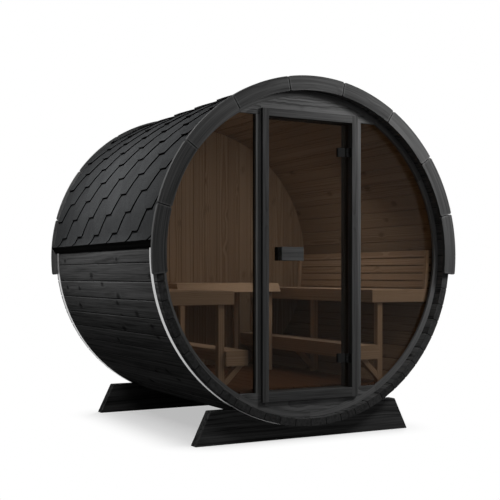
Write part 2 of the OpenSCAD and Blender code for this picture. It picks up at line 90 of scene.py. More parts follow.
# %% A socket with arithmetic
class Flow:
    """One socket of a node tree. Arithmetic on it, in either order, adds Math nodes to the same tree."""

    def __init__(self, tree, socket=None):
        self.tree, self.socket = tree, socket

    def make(self, kind, settings=None, out=0, **sockets):
        """Adds a node: its settings first, then a value or link for each socket, named or as s0, s1, ..."""
        node = self.tree.nodes.new("ShaderNode" + kind)
        for key, value in (settings or {}).items():
            setattr(node, key, value)
        for key, value in sockets.items():
            number = key[0] == "s" and key[1:].isdigit()
            target = node.inputs[int(key[1:]) if number else key.replace("_", " ")]
            if isinstance(value, Flow):
                self.tree.links.new(value.socket, target)
            else:
                target.default_value = value
        return Flow(self.tree, node.outputs[out] if node.outputs else None)

    def math(self, operation, *values):
        return self.make("Math", {"operation": operation}, **{f"s{k}": v for k, v in enumerate(values)})

    def __add__(self, other):
        return self.math("ADD", self, other)

    def __sub__(self, other):
        return self.math("SUBTRACT", self, other)

    def __rsub__(self, other):
        return self.math("SUBTRACT", other, self)

    def __mul__(self, other):
        return self.math("MULTIPLY", self, other)

    def __truediv__(self, other):
        return self.math("DIVIDE", self, other)

    def __pow__(self, other):
        return self.math("POWER", self, other)

    __radd__, __rmul__ = __add__, __mul__

    def step(self, low, high):
        """Smooth step: 0 below low, 1 above high (or the other way round where low is the larger)."""
        smooth = {"interpolation_type": "SMOOTHSTEP"}
        return self.make("MapRange", smooth, Value=self, From_Min=low, From_Max=high)

    def mix(self, one, two):
        """Colour that goes from one to two as this value goes from 0 to 1."""
        return self.make("Mix", {"data_type": "RGBA"}, out=2, s0=self, s6=one, s7=two)

    def parts(self):
        """The three numbers of a vector or a colour."""
        apart = self.make("SeparateXYZ", Vector=self)
        return [Flow(self.tree, socket) for socket in apart.socket.node.outputs]

    def scaled(self, x, y, z):
        """The vector with each of its numbers multiplied."""
        return self.make("VectorMath", {"operation": "MULTIPLY"}, s0=self, s1=(x, y, z))

    def noise(self, scale, detail):
        """Soft random value from 0 to 1 at this place."""
        return self.make("TexNoise", Vector=self, Scale=scale, Detail=detail)


def grey(value, warmth=0.0):
    """A colour near grey, a little warmer or cooler."""
    return (value * (1 + warmth), value, value * (1 - warmth), 1.0)


def new_finish(name):
    """An empty node material, and a Flow to fill it with."""
    material = bpy.data.materials.new(name)
    material.use_nodes = True
    material.node_tree.nodes.clear()
    return material, Flow(material.node_tree)


print("shader class:", Flow.__name__)

# %% [markdown]
# ## The studio
# A sauna like this is shown on white, with a soft shadow under it. A white paper floor that runs into a
# white backdrop does that. The lamps stay at a plain level, and the far floor and the backdrop are white
# to the camera, to mirrors and through glass, while near the sauna the floor keeps the true shadow.

# %% Backdrop
FILL, FILL_WARMTH, WHITE = 0.1, -0.01, 1.0
SEEN_RAYS = ("Is Camera Ray", "Is Glossy Ray", "Is Transmission Ray")


def seen_rays(flow):
    """1 for rays that the camera, a mirror or a see-through surface sends out, 0 for light on the way."""
    path = flow.make("LightPath").socket.node.outputs
    camera_ray, glossy, through = (Flow(flow.tree, path[name]) for name in SEEN_RAYS)
    return flow.math("MAXIMUM", camera_ray, flow.math("MAXIMUM", glossy, through))


world = bpy.data.worlds.new("studio")
world.use_nodes = True
world.node_tree.nodes.clear()
scene.world = world
air = Flow(world.node_tree)
sky = air.make("Background", Color=seen_rays(air).mix(grey(FILL, FILL_WARMTH), grey(WHITE)))
air.make("OutputWorld", Surface=sky)
print("fill light:", FILL)

# %% Paper floor
FLOOR_HALF, PAPER, BOUNCE = 30.0, 0.95, 0.15
FOOT_X, FOOT_Y, FADE = 0.6, 0.66, 0.38  # half the shadow's patch, and how far it fades out
KEPT_WHITE = 0.48  # how much white lies over the shadow

floor_mesh = bpy.data.meshes.new("paper_floor")
corners = FLOOR_HALF * np.array([[-1, -1, 0], [1, -1, 0], [1, 1, 0], [-1, 1, 0]], float)
floor_mesh.from_pydata(corners, [], [[0, 1, 2, 3]])
paper_floor = bpy.data.objects.new("paper_floor", floor_mesh)
scene.collection.objects.link(paper_floor)

paper, sheet = new_finish("paper")
spot_x, spot_y, _ = sheet.make("TexCoord", out="Object").parts()
past_x = sheet.math("MAXIMUM", sheet.math("ABSOLUTE", spot_x) - FOOT_X, 0.0)
past_y = sheet.math("MAXIMUM", sheet.math("ABSOLUTE", spot_y) - FOOT_Y, 0.0)
distance = (past_x * past_x + past_y * past_y) ** 0.5
seen = seen_rays(sheet)
matt = sheet.make("BsdfDiffuse", Color=seen.mix(grey(BOUNCE), grey(PAPER)))
glow = sheet.make("Emission", Color=grey(WHITE))
whiten = (KEPT_WHITE + (1.0 - KEPT_WHITE) * distance.step(0.0, FADE)) * seen
sheet.make("OutputMaterial", Surface=sheet.make("MixShader", s0=whiten, s1=matt, s2=glow))
floor_mesh.materials.append(paper)
print("floor half width:", FLOOR_HALF)

# %% [markdown]
# ## Light
# The brighter right half of the front arch tells of a lamp close to the front's upper right, and the bright
# middle of the left roof half of another one close beside it. Three wider lamps, in front, behind the right
# side and overhead, keep the other sides readable, and a small one under the crown lights the benches.

# %% Lamps
AIM = Vector((0.0, 0.0, 1.0))
LAMPS = {  # place, width and power in watts
    "key_lamp": ((1.36, -2.2, 2.44), 0.55, 31.5),
    "side_lamp": ((-1.9, -0.04, 2.23), 0.6, 23.0),
    "front_lamp": ((0.2, -5.0, 2.0), 2.0, 10.0),
    "rear_lamp": ((3.5, 3.5, 2.9), 2.0, 260.0),
    "top_lamp": ((-0.3, 0.4, 4.6), 1.6, 18.0),
    "room_lamp": ((0.45, -0.3, 1.72), 0.4, 3.2),
}


def soft_lamp(name, place, width, power):
    """A square area lamp at a place, turned so that it faces the middle of the sauna."""
    lamp = bpy.data.objects.new(name, bpy.data.lights.new(name, "AREA"))
    lamp.data.shape, lamp.data.size, lamp.data.energy = "SQUARE", width, power
    lamp.location = place
    lamp.rotation_euler = (AIM - Vector(place)).to_track_quat("-Z", "Y").to_euler()
    lamp.visible_camera = lamp.visible_glossy = False
    scene.collection.objects.link(lamp)


for name, settings in LAMPS.items():
    soft_lamp(name, *settings)
print("lamps:", *LAMPS)

# %% [markdown]
# ## Timber bars
# Almost every piece is sawn timber with eased arrises: staves, boards, slats, posts and arches. They could
# be cubes with a Bevel modifier, but then each would need its own grain by hand. Here one surface serves
# them all: a rounded rectangle carried along a path. It also notes, at every point, where that point lies
# in its own board. Places count from the front end of the barrel's axis, and most come off the solids.

# %% Where the solids lie
HALF_LENGTH = cad_box[1].y
AXIS_HEIGHT = sum(corner.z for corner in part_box("front_ring")) / 2
AXIS_FRONT = np.array([0.0, -HALF_LENGTH, AXIS_HEIGHT])


def span(node):
    """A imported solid's x0, x1, y0, y1, z0 and z1, measured from the front end of the barrel's axis."""
    return (np.array(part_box(node)) - AXIS_FRONT).T.ravel()


print("length:", round(2 * HALF_LENGTH, 4), "axis height:", round(AXIS_HEIGHT, 4))

# %% Rows and faces of a bar
SECTION = 12


def with_end_rows(chain, advance):
    """The chain of points with its two end points spread into rows, at the advances along the end legs."""
    first, last = chain[:, 1] - chain[:, 0], chain[:, -2] - chain[:, -1]
    first = first / np.linalg.norm(first, axis=-1, keepdims=True)
    last = last / np.linalg.norm(last, axis=-1, keepdims=True)
    head = chain[:, :1] + advance[:, None] * first[:, None]
    tail = chain[:, -1:] + advance[::-1, None] * last[:, None]
    return np.concatenate([head, chain[:, 1:-1], tail], axis=1)


def section(width, lo, hi, ease):
    """The twelve points of each row's rounded rectangle, as two lengths: over its width and from lo to hi.

    Width gives where the row starts and ends. Each corner is a quarter circle of three points.
    """
    s_lo, s_hi, t_lo, t_hi = (limit[..., None] for limit in (*width, lo, hi))
    radius = np.minimum(ease, 0.5 * np.minimum(s_hi - s_lo, t_hi - t_lo))
    quarter = np.radians([0.0, 45.0, 90.0])
    near, far = radius * (1 - np.cos(quarter)), radius * (1 - np.sin(quarter))
    s = np.concatenate([s_lo + near, s_hi - far, s_hi - near, s_lo + far], axis=-1)
    t = np.concatenate([t_lo + far, t_lo + near, t_hi - far, t_hi - near], axis=-1)
    return s, t


def sleeves(index):
    """Quads of closed, capped sleeves from their point numbers, by sleeve, row and place in the row."""
    around = index.shape[2]
    ring = np.roll(index, -1, axis=2)
    skin = np.stack([index[:, :-1], ring[:, :-1], ring[:, 1:], index[:, 1:]], axis=-1).reshape(-1, 4)
    k = np.arange(around // 2 - 1)
    cap = np.stack([k, k + 1, around - 2 - k, around - 1 - k], axis=-1)
    caps = np.concatenate([index[:, 0][:, cap[:, ::-1]], index[:, -1][:, cap]]).reshape(-1, 4)
    return np.concatenate([skin, caps])


def outward(points, quads):
    """The quads, turned round if the volume that they close counts as negative."""
    p, q, r, s = (points[quads[:, k]] for k in range(4))
    volume = np.einsum("ij,ij->", p, np.cross(q, r)) + np.einsum("ij,ij->", p, np.cross(r, s))
    return quads if volume > 0 else quads[:, ::-1]


print("points in a section:", SECTION)

# %% Bars from two edges
EASE_ROWS, CORNER_ROWS, LEAST_WIDTH, MOST_PULL = 3, 6, 1e-4, 0.45
LOG_LOW, LOG_HIGH = (0.0, -0.05, 0.02), (40.0, 0.05, 0.1)  # where in a log a board may lie
random = np.random.default_rng(62)


def bars(a, b, lo, hi, across, ease=0.003, corner=None, grain="path", seam=0.0):
    """Timber bars with eased arrises, all at once.

    Each bar runs between two edges, a and b, row by row. Its section at a row is the rectangle from a to b
    and from lo to hi, with quarter circles of radius ease at its corners. At both ends the rows shrink by a
    quarter circle too: by corner from a to b, and by ease from lo to hi. Grain says which way the fibres
    run: along the path, from a to b, or from lo to hi. Arris is 1 on eased edges, and below 0 in a seam.
    """
    corner = corner or ease
    turn = np.linspace(0.0, np.pi / 2, EASE_ROWS if corner == ease else CORNER_ROWS)
    advance = corner * (1 - np.cos(turn))
    left = np.clip(1 - advance / ease, 0.0, 1.0)
    a, b = (with_end_rows(np.asarray(edge, float), advance) for edge in (a, b))
    count, rows = a.shape[:2]
    plain = np.zeros(rows - 2 * len(turn))
    pull, thin = (
        np.concatenate([end, plain, end[::-1]])
        for end in (corner * (1 - np.sin(turn)), ease * (1 - np.sqrt(1 - left**2)))
    )
    width = np.maximum(np.linalg.norm(b - a, axis=-1), LEAST_WIDTH)
    unit = (b - a) / width[..., None]
    pull = np.minimum(pull, MOST_PULL * width)
    lo, hi = (np.broadcast_to(edge, count)[:, None] for edge in (lo, hi))
    s, t = section((pull, width - pull), lo + thin, hi - thin, ease)
    u, v = np.moveaxis(a[:, :, None] + unit[:, :, None] * s[..., None], -1, 0)
    points = np.stack({"x": [t, u, v], "y": [u, t, v], "z": [u, v, t]}[across], axis=-1).reshape(-1, 3)
    path = np.zeros((count, rows))
    path[:, 1:] = np.cumsum(np.linalg.norm(np.diff((a + b) / 2, axis=1), axis=-1), axis=1)
    path = np.broadcast_to(path[..., None], s.shape)
    order = {"path": (path, s, t), "span": (s, path, t), "across": (t, path, s)}[grain]
    place = np.stack([part - part.mean(axis=(1, 2), keepdims=True) for part in order], axis=-1)
    shift = random.uniform(LOG_LOW, LOG_HIGH, (count, 3))[:, None, None]
    arris = np.zeros(s.shape)
    arris[..., 1::3] = 1.0
    edge = np.interp(turn, np.radians([0, 45, 90]), [-seam, 1 - 0.4 * seam, 0])[:-1, None]
    arris[:, : len(edge)], arris[:, -len(edge) :] = edge, edge[::-1]
    return {
        "points": points + AXIS_FRONT,
        "quads": outward(points, sleeves(np.arange(s.size).reshape(s.shape))),
        "grain": (place + shift).reshape(-1, 3),
        "tone": np.repeat(random.uniform(0, 1, count), rows * SECTION),
        "arris": arris.reshape(-1),
    }


def boards(boxes, along, **options):
    """Straight bars from their boxes, each as x0, x1, y0, y1, z0, z1, with the grain along one axis."""
    x0, x1, y0, y1, z0, z1 = np.atleast_2d(np.asarray(boxes, float)).T
    low, high, lo, hi, across = {
        "x": (((x0, z0), (x1, z0)), ((x0, z1), (x1, z1)), y0, y1, "y"),
        "y": (((y0, z0), (y1, z0)), ((y0, z1), (y1, z1)), x0, x1, "x"),
        "z": (((x0, z0), (x0, z1)), ((x1, z0), (x1, z1)), y0, y1, "y"),
    }[along]
    a, b = (np.moveaxis(np.array(edge), -1, 0) for edge in (low, high))
    return bars(a, b, lo, hi, across, **options)


def mirrored(part):
    """The left-hand twin of a right-hand set of bars: X changes its sign and the faces turn round."""
    return {**part, "points": part["points"] * [-1, 1, 1], "quads": part["quads"][:, ::-1]}


print("bars ready")

# %% From arrays to a Blender object
SHARP = math.radians(15)
NOTES = (("grain", "FLOAT_VECTOR", "vector"), ("tone", "FLOAT", "value"), ("arris", "FLOAT", "value"))


def mesh_of(name, points, quads):
    """A mesh from points and quads, smooth across all edges but the sharp ones."""
    mesh = bpy.data.meshes.new(name)
    mesh.vertices.add(len(points))
    mesh.vertices.foreach_set("co", points.astype(np.float32).ravel())
    mesh.loops.add(quads.size)
    mesh.loops.foreach_set("vertex_index", quads.astype(np.int32).ravel())
    mesh.polygons.add(len(quads))
    mesh.polygons.foreach_set("loop_start", np.arange(0, quads.size, 4, dtype=np.int32))
    mesh.polygons.foreach_set("use_smooth", np.ones(len(quads), bool))
    mesh.update(calc_edges=True)
    mesh.set_sharp_from_angle(angle=SHARP)
    return mesh


def piece(name, parts, finish, *nodes, body="sauna"):
    """One mesh from several parts and their notes, with its finish, its body and the solids it is for."""
    starts = np.cumsum([0] + [len(part["points"]) for part in parts[:-1]])
    points = np.concatenate([part["points"] for part in parts])
    quads = np.concatenate([part["quads"] + start for part, start in zip(parts, starts)])
    mesh = mesh_of(name, points, quads)
    for key, kind, field in NOTES:
        if key in parts[0]:
            values = np.concatenate([part[key] for part in parts]).astype(np.float32)
            mesh.attributes.new(key, kind, "POINT").data.foreach_set(field, values.ravel())
    mesh.materials.append(finish)
    made = bpy.data.objects.new(name, mesh)
    scene.collection.objects.link(made)
    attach(made, body)
    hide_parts(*nodes)
    print(name, len(quads), "faces")


def dress(finish, *nodes):
    """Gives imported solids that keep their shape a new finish."""
    for node in nodes:
        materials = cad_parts[node].data.materials
        materials.clear()
        materials.append(finish)
    print(finish.name, "on", *nodes)


# %% [markdown]
# ## Figure of the wood
# Sawn softwood shows its growth rings as long flames, fine fibres along the board, soft streaks and a few
# knots. The boards already carry their own place as an attribute, so the rings are cut from a log whose
# pith lies near each board, and the fibres stretch along it.

# %% Rings, fibres, streaks and knots
KNOT_CELLS, KNOT_DRAWN_OUT, KNOT_SHARE = 6.5, 0.62, (0.66, 0.68)
KNOT_SIZE, KNOT_SPREAD, KNOT_EDGE = 0.12, 0.09, 0.03
SWAY_ACROSS, SWAY, SWERVE, SWERVE_REACH = 5.0, 0.03, 0.006, 0.3
LATE_RISE, LATE_FALL = (0.3, 0.85), (1.0, 0.92)  # where in a ring late wood starts and ends
FIBRES, STREAKS = (5.0, 330.0, 330.0), (0.9, 55.0, 55.0)


def note(flow, name, out="Fac"):
    """What the mesh notes at this point under a name."""
    return flow.make("Attribute", {"attribute_name": name}, out=out)


def figure(flow, flame, growth):
    """Late-wood bands, fibres, streaks and knots, each from 0 to 1.

    The distance from the pith, swayed by a noise with flame waves in a metre of board, counts rings that
    are growth wide, and the end of each count is late wood. Knots sit in some cells of a Voronoi pattern,
    and the rings swerve round them.
    """
    place = note(flow, "grain", "Vector")
    along, wide, deep = place.parts()
    flat = flow.make("CombineXYZ", X=KNOT_DRAWN_OUT * along, Y=wide)
    eye = flow.make("TexVoronoi", {"voronoi_dimensions": "2D"}, Vector=flat, Scale=KNOT_CELLS)
    chance, size, _ = Flow(flow.tree, eye.socket.node.outputs["Color"]).parts()
    grown = chance.step(*KNOT_SHARE)
    knot = grown * eye.step(KNOT_SIZE + KNOT_SPREAD * size, KNOT_EDGE)
    swerve = grown * eye.step(SWERVE_REACH, 0.0)
    sway = place.scaled(flame, SWAY_ACROSS, SWAY_ACROSS).noise(1.0, 2.0)
    radius = (wide * wide + deep * deep) ** 0.5 + sway * SWAY + swerve * SWERVE
    ring = flow.math("FRACT", radius / growth)
    late = ring.step(*LATE_RISE) * ring.step(*LATE_FALL)
    fibre = place.scaled(*FIBRES).noise(1.0, 3.0)
    streak = place.scaled(*STREAKS).noise(1.0, 4.0)
    return late, fibre, streak, knot


print("knot cells in a metre:", KNOT_CELLS)

# %% [markdown]
# ## Black stain and bare spruce
# Outside, a thin black stain lets the grain through and wears to grey on the arrises. That grey is also a
# painted highlight, the light that the rounded arrises would catch. Inside, the same boards are bare. A
# stave is both at once, so its finish looks at where a point is: under the skin and between the two end
# walls it is bare wood. The stain is fully matt, with no specular level at all, because in a white studio
# even a little gloss lays a grey veil over black wood. Joints and sawn stave ends are darkest, and in the
# staves' joints that dark is painted shade.

# %% Timber finishes
BARE_PALE, BARE_DEEP = (0.46, 0.36, 0.26, 1.0), (0.27, 0.19, 0.125, 1.0)
KNOT_BROWN, WEAR_AND_HIGHLIGHT_GREY, BARE_SHINE = (0.1, 0.06, 0.035, 1.0), 0.2, 0.02
STAIN_DEEP, STAIN_PALE, STAIN_JOINT = 0.3, 1.7, 0.1  # shares of the stain's grey
SAWN_Y, SAWN_DARK, GRAIN_BUMP = (0.8755, 0.877), 0.5, 0.0015


def stained(flow, wood, stain, lines, rings, knots, wear_and_highlight, sawn_dark):
    """The stain's grey: figure, abraded arrises that also carry a painted highlight, and dark knots and
    joints.
    """
    late, fibre, streak, knot, tone, arris, seam = wood
    y = flow.make("TexCoord", out="Object").parts()[1]
    sawn = flow.math("ABSOLUTE", y).step(*SAWN_Y) * sawn_dark
    amount = 2.0 * lines * (streak - 0.5) + fibre + 0.25 * (tone - 0.5) + rings * (0.4 - late)
    skin = amount.mix(grey(STAIN_DEEP * stain), grey(STAIN_PALE * stain))
    # light arrises: real abrasion, and a painted highlight, since the stain has no gloss
    rubbed_and_highlit = arris * (0.3 + 0.7 * streak) * wear_and_highlight * (1.0 - 2.0 * sawn)
    skin = rubbed_and_highlit.mix(skin, grey(WEAR_AND_HIGHLIGHT_GREY))
    # knots, sawn ends and seams are darkest; in the staves' seams that dark is painted shade
    dark = flow.math("MAXIMUM", flow.math("MAXIMUM", knot * knots, sawn), 0.9 * seam)
    return dark.mix(skin, grey(STAIN_JOINT * stain))


def timber(
    name, stain=0.0, lines=0.6, rings=0.1, knots=0.0, wear_and_highlight=0.3, bare=None,
    pale=BARE_PALE, deep=BARE_DEEP, flame=0.7, growth=0.008,
):
    """Wood stained in a grey of that strength, or bare where the mask says so, and all bare without stain.

    Lines, rings and knots say how strongly the figure shows in the stain, wear_and_highlight how far the
    arrises are abraded bare and carry a painted highlight, and flame and growth how the rings lie in the
    board.
    """
    material, flow = new_finish(name)
    late, fibre, streak, knot = figure(flow, flame, growth)
    tone, arris = note(flow, "tone"), note(flow, "arris")
    seam = flow.math("MAXIMUM", 0.0 - arris, 0.0)
    arris = flow.math("MAXIMUM", arris, 0.0)
    spruce = (0.5 * late + 0.45 * streak + 0.3 * tone - 0.15 + 0.8 * seam).mix(pale, deep)
    colour, rough, shine = (knot * (0.6 * knots)).mix(spruce, KNOT_BROWN), 0.5 + 0.15 * fibre, BARE_SHINE
    if stain:
        wood = (late, fibre, streak, knot, tone, arris, seam)
        skin = stained(flow, wood, stain, lines, rings, knots, wear_and_highlight, SAWN_DARK if bare else 0.0)
        colour, rough, shine = bare(flow).mix(skin, colour) if bare else skin, 0.6 + 0.2 * fibre, 0.0
    height = 0.8 * fibre + 0.4 * streak - 0.25 * late - 0.3 * knot
    normal = flow.make("Bump", Height=height, Strength=0.5, Distance=GRAIN_BUMP)
    shader = flow.make(
        "BsdfPrincipled", Base_Color=colour, Roughness=rough, Normal=normal, Specular_IOR_Level=shine
    )
    flow.make("OutputMaterial", Surface=shader)
    return material


print("bare spruce:", BARE_PALE[:3], "to", BARE_DEEP[:3])

# %% Stained and bare woods
BARE_UNDER, BARE_WITHIN = (0.985, 0.975), (0.8, 0.79)  # radius and Y where a stave turns bare
WALL_MIDDLE = (0.812, 0.806)
WALL_PALE, WALL_DEEP = (0.56, 0.44, 0.32, 1.0), (0.33, 0.232, 0.154, 1.0)
FLOOR_PALE, FLOOR_DEEP = (0.2, 0.1, 0.05, 1.0), (0.1, 0.048, 0.022, 1.0)
BENCH_PALE, BENCH_DEEP = (0.8, 0.635, 0.475, 1.0), (0.56, 0.405, 0.275, 1.0)


def inside_barrel(flow):
    """1 on the inner face of the staves between the end walls, and 0 elsewhere."""
    x, y, z = flow.make("TexCoord", out="Object").parts()
    up = z - AXIS_HEIGHT
    radius = (x * x + up * up) ** 0.5
    return radius.step(*BARE_UNDER) * flow.math("ABSOLUTE", y).step(*BARE_WITHIN)


def room_side(flow):
    """1 on the rear wall's face to the room, and 0 on its outer face."""
    return flow.make("TexCoord", out="Object").parts()[1].step(*WALL_MIDDLE)


stave_wood = timber("stave_wood", 0.092, lines=0.65, rings=0.15, knots=0.7, wear_and_highlight=0.8, bare=inside_barrel)
beam_wood = timber("beam_wood", 0.05, lines=1.4, rings=0.2)
strip_wood = timber("strip_wood", 0.012, wear_and_highlight=0.1)
trim_wood = timber("trim_wood", 0.085, lines=0.5, rings=0.12, wear_and_highlight=0.85)
frame_wood = timber("frame_wood", 0.085, lines=0.5, rings=0.12)
front_wood = timber("front_wood", 0.13, lines=0.3)
board_wood = timber("board_wood", 0.15, lines=0.2, rings=0.3, flame=6.0, growth=0.0115)
wall_wood = timber("wall_wood", 0.07, knots=0.4, bare=room_side, pale=WALL_PALE, deep=WALL_DEEP)
floor_wood = timber("floor_wood", pale=FLOOR_PALE, deep=FLOOR_DEEP)
bench_wood = timber("bench_wood", knots=0.1, pale=BENCH_PALE, deep=BENCH_DEEP)
print("timber finishes:", stave_wood.name, trim_wood.name, bench_wood.name)

# %% [markdown]
# ## The barrel
# Fifty-nine staves, each bevelled to the same angle, close to a circle. Every stave is a bar across its own
# flat, with eased outer edges. The fine dark V at every joint is painted shade in the colour, with a
# painted highlight on the bevels beside it. Six groups of them stand for the six packed groups.

# %% Staves
STAVE_COUNT, STAVE_SHIFT = 59, 0.26  # the shift is a share of one stave
STAVE_IN, STAVE_OUT, STAVE_GAP = 0.955, 1.0, 0.0001
STAVE_EASE, STAVE_CORNER, STAVE_Y = 0.002, 0.0075, span("staves_top")[2:4]
# below 0 is painted shade in the joint, 0.5 a painted highlight on its bevel; at the sawn ends, painted
# shade
JOINT_SHADE_AND_HIGHLIGHT = np.array([-1.0, -1.0, -0.7, 0.5, 0.5, 0.0])[:, None]  # the arris, row by row into the joint
SAWN_JOINT_SHADE = np.array([-1.0, -1.0, -1.0, -0.6, 0.0, 0.0])[:, None]
SAWN_ENDS = (slice(1, 5), slice(7, 11))
GROUPS = {
    "top": (-5, 5), "upper_left": (5, 15), "lower_left": (15, 25),
    "bottom": (25, 34), "lower_right": (34, 44), "upper_right": (44, 54),
}


def stave_bars(first, last):
    """Staves from one number to another: straight flats at two radii, between two bevelled joints."""
    step = 2 * np.pi / STAVE_COUNT
    middle = np.pi / 2 + (np.arange(first, last) + 0.5 + STAVE_SHIFT) * step
    out = np.stack([np.cos(middle), np.sin(middle)], axis=-1)[:, None]
    side = np.stack([np.sin(middle), -np.cos(middle)], axis=-1)[:, None]
    rows = np.array([[-1.0], [1.0]])
    edges = (
        radius * out + rows * (radius * np.tan(step / 2) - STAVE_GAP / 2) * side
        for radius in (STAVE_IN, STAVE_OUT)
    )
    part = bars(*edges, *STAVE_Y, "y", ease=STAVE_EASE, corner=STAVE_CORNER, grain="across")
    arris = part["arris"].reshape(-1, 2, CORNER_ROWS, SECTION)
    arris[:, 0], arris[:, 1] = JOINT_SHADE_AND_HIGHLIGHT, JOINT_SHADE_AND_HIGHLIGHT[::-1]
    for sawn_end in SAWN_ENDS:
        arris[:, 0, :, sawn_end], arris[:, 1, :, sawn_end] = SAWN_JOINT_SHADE, SAWN_JOINT_SHADE[::-1]
    return part


for group, numbers in GROUPS.items():
    piece(f"barrel_{group}", [stave_bars(*numbers)], stave_wood, f"staves_{group}")

# %% [markdown]
# ## End arches
# Nine short boards, sawn to the circle, make each end arch. Their corners are rounded with a router, which
# is why the joints open into small notches. Here each board is a bar along an arc, with a larger radius at
# its ends. The outer rim of the front arch is painted light, a painted highlight along its edge, and that
# of the rear one far less.

# %% Segmented arches
ARCH_IN, ARCH_OUT, ARCH_GAP, RIM = 0.945, 1.03, 0.003, 0.0005
ARCH_EASE, ARCH_CORNER, ARCH_SEAM = 0.0026, 0.011, 0.5
ARCH_COUNT, ARC_ROWS = 9, 13
ARCH_BELOW = np.radians(6.8)  # how far both ends go below the axis
ARCH_STEP = (np.pi + 2 * ARCH_BELOW) / ARCH_COUNT


def arc_bars(inner, outer, first, step, count, gap, lo, hi, **options):
    """Boards sawn to a circle: each runs along an arc between two radii, with an even gap at each joint."""
    start = first + step * np.arange(count)[:, None]
    edges = []
    for radius in (inner, outer):
        spare = gap / 2 / radius
        angle = start + np.linspace(spare, step - spare, ARC_ROWS)
        edges.append(radius * np.stack([np.cos(angle), np.sin(angle)], axis=-1))
    return bars(*edges, lo, hi, "y", **options)


# the share by which each arch's arrises and rim are painted light: abrasion and a painted highlight
for end, arch_wear_and_highlight in (("front", 1.0), ("rear", 0.15)):
    arch = arc_bars(
        ARCH_IN, ARCH_OUT, -ARCH_BELOW, ARCH_STEP, ARCH_COUNT, ARCH_GAP, *span(f"trim_{end}")[2:4],
        ease=ARCH_EASE, corner=ARCH_CORNER, seam=ARCH_SEAM,
    )
    # the outer rim counts as an arris, so it takes the painted highlight along the arch's edge
    rim = np.hypot(arch["points"][:, 0], arch["points"][:, 2] - AXIS_HEIGHT) > ARCH_OUT - RIM
    arris = np.maximum(arch["arris"], rim)
    arch["arris"] = np.where(arris > 0.0, arch_wear_and_highlight * arris, arris)
    piece(f"arch_{end}", [arch], trim_wood, f"trim_{end}")

# %% [markdown]
# ## Cradles
# The barrel rests in two beams with a round seat. Each is a bar whose lower edge is straight and whose
# upper edge dips along the seat's arc, with sloping ends.

# %% Cradle beams
SEAT_R, SEAT_ROWS, TOP_HALF, CRADLE_EASE = 1.0004, 41, 0.635, 0.004
_, foot_half, _, _, foot_z, cradle_top = span("cradle_front")
seat_half = math.sqrt(SEAT_R**2 - cradle_top**2)
seat_x = np.linspace(-seat_half, seat_half, SEAT_ROWS)
top_x = np.concatenate([[-TOP_HALF], seat_x, [TOP_HALF]])
top_z = np.concatenate([[cradle_top], -np.sqrt(SEAT_R**2 - seat_x**2), [cradle_top]])
foot = np.stack([top_x * foot_half / TOP_HALF, np.full(len(top_x), foot_z)], axis=-1)
seat = np.stack([top_x, top_z], axis=-1)
for end in ("front", "rear"):
    beam = bars(foot[None], seat[None], *span(f"cradle_{end}")[2:4], "y", ease=CRADLE_EASE)
    piece(f"cradle_beam_{end}", [beam], beam_wood, f"cradle_{end}")

# %% [markdown]
# ## Front wall
# A ring of twelve segments, a head board and a sill board, and two posts hold the glass. All are rebated:
# a wider face in front, a narrower one behind. Each is made as two bars, one behind the other. The head
# and the sill are flat-sawn, so their rings show as broad flames.

# %% Ring of the front wall
RING_COUNT, RING_WIDTH, RING_GAP = 12, 0.033, 0.0006
WALL_EASE, REBATE = 0.0007, 0.014
_, RING_OUT, WALL_Y, BACK_Y, _, _ = span("front_ring")
REBATE_Y = span("window_right")[2]
RING_IN, RING_STEP = RING_OUT - RING_WIDTH, 2 * np.pi / RING_COUNT
RING_BACK = RING_IN + REBATE
ring_parts = [
    arc_bars(inner, RING_OUT, 0.0, RING_STEP, RING_COUNT, RING_GAP, *depth, ease=WALL_EASE)
    for inner, depth in ((RING_IN, (WALL_Y, REBATE_Y)), (RING_BACK, (REBATE_Y, BACK_Y)))
]
piece("wall_ring", ring_parts, front_wood, "front_ring")

# %% Head, sill and posts
FIT = 0.0003  # the play that a joiner leaves
CORNER_CUT, NOTCH_SLANT, POST_EASE = 0.0025, 0.0001, 0.002
SIDE_ROWS, NOTCH_ROWS = 8, 15
POST_IN, POST_OUT, _, _, _, POST_TOP = span("post_right")
CHORD_Z = span("head_board")[4]


def round_board(radius, chord, notch, sign, lo, hi):
    """A board between a chord and the circle, notched for the door; sign 1 is the head, -1 the sill."""
    arc = radius - FIT
    side = np.linspace(POST_IN, math.sqrt(arc**2 - (chord + CORNER_CUT) ** 2), SIDE_ROWS)
    middle = np.linspace(-POST_IN + NOTCH_SLANT, POST_IN - NOTCH_SLANT, NOTCH_ROWS)
    x = np.concatenate([-side[::-1], middle, side])
    low = np.where(np.abs(x) < POST_IN, notch, chord)
    edges = (np.stack([x, sign * z], axis=-1)[None] for z in (low, np.sqrt(arc**2 - x**2)))
    return bars(*edges, lo, hi, "y", ease=WALL_EASE)


for name, sign, frame_end in (("head", 1, span("door_head")[5]), ("sill", -1, span("door_sill")[4])):
    notch = sign * frame_end + FIT
    layers = [
        round_board(RING_IN, CHORD_Z, notch, sign, WALL_Y, REBATE_Y),
        round_board(RING_BACK, CHORD_Z + REBATE, notch, sign, REBATE_Y, BACK_Y),
    ]
    piece(f"wall_{name}", layers, board_wood, f"{name}_board")

face_top = POST_TOP - REBATE
right_post = [
    boards((POST_IN, POST_OUT, WALL_Y, REBATE_Y, -face_top, face_top), "z", ease=POST_EASE),
    boards((POST_IN, POST_OUT - REBATE, REBATE_Y, BACK_Y, -POST_TOP, POST_TOP), "z", ease=POST_EASE),
]
piece("wall_post_right", right_post, front_wood, "post_right")
piece("wall_post_left", [mirrored(part) for part in right_post], front_wood, "post_left")

# %% [markdown]
# ## Door frame
# Deep stiles stand from sill to head, proud of the wall, and the glass door closes between them. They are
# plain boxes, so each bar takes its box straight from the solid.

